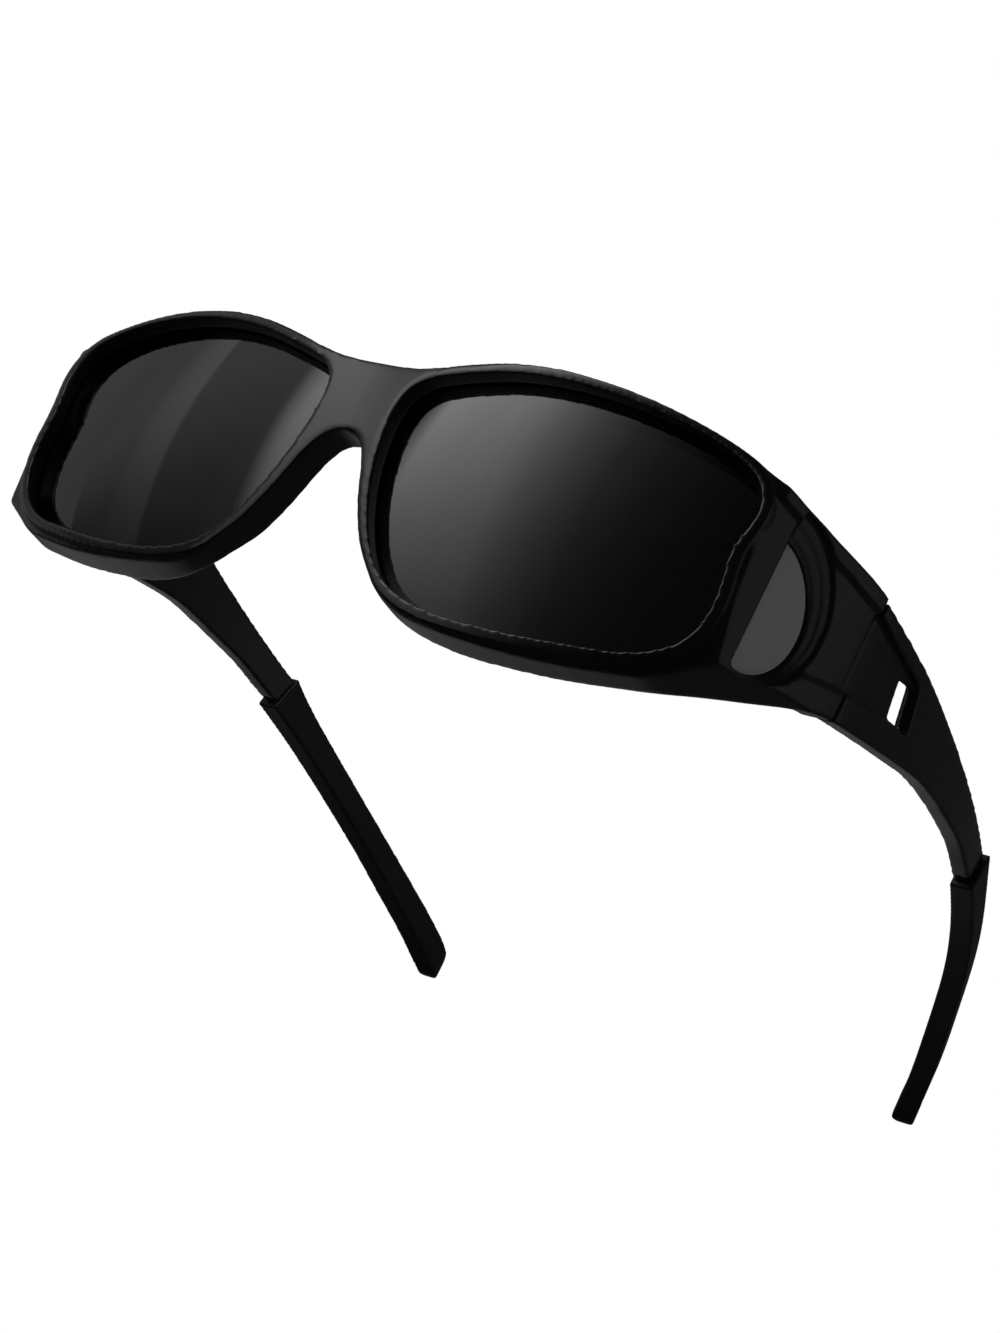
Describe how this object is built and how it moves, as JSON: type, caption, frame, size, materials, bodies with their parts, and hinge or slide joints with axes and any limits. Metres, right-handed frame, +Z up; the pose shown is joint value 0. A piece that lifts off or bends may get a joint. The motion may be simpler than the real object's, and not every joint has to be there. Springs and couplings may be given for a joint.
{
  "type": "fitover sunglasses",
  "caption": "Fitover sunglasses worn over spectacles: wraparound shell with recessed tinted lenses, shielded sides with half-moon windows, and folding arms with rubber sleeves.",
  "frame": {"origin": "middle of the base of the bounding box, with the arms open", "axes": "+X to the wearer's left, +Y back from the lenses to the ears, +Z up"},
  "size_m": [0.1516, 0.1597, 0.0464],
  "materials": {
    "frame": "satin black moulded plastic",
    "lens": "polished grey tint",
    "side_lens": "polished grey tint",
    "sleeve": "soft matte",
    "steel": "brushed"
  },
  "bodies": {
    "front": {"front_frame": "frame", "left_lens": "lens", "right_lens": "lens", "left_side_lens": "side_lens", "right_side_lens": "side_lens", "left_hinge_front_leaf": "steel", "right_hinge_front_leaf": "steel", "left_hinge_screw": "steel", "right_hinge_screw": "steel", "left_front_leaf_screws": "steel", "right_front_leaf_screws": "steel"},
    "left_arm": {"left_temple": "frame", "left_temple_tip": "sleeve", "left_hinge_temple_leaf": "steel", "left_temple_leaf_screws": "steel"},
    "right_arm": {"right_temple": "frame", "right_temple_tip": "sleeve", "right_hinge_temple_leaf": "steel", "right_temple_leaf_screws": "steel"}
  },
  "joints": [
    {"name": "left_arm_fold", "type": "hinge", "parent": "front", "child": "left_arm", "pos_m": [0.0689, -0.03983, 0.02882], "axis": [0, 0, 1], "range_deg": [0, 90]},
    {"name": "right_arm_fold", "type": "hinge", "parent": "front", "child": "right_arm", "pos_m": [-0.0689, -0.03983, 0.02882], "axis": [0, 0, -1], "range_deg": [0, 82]}
  ]
}
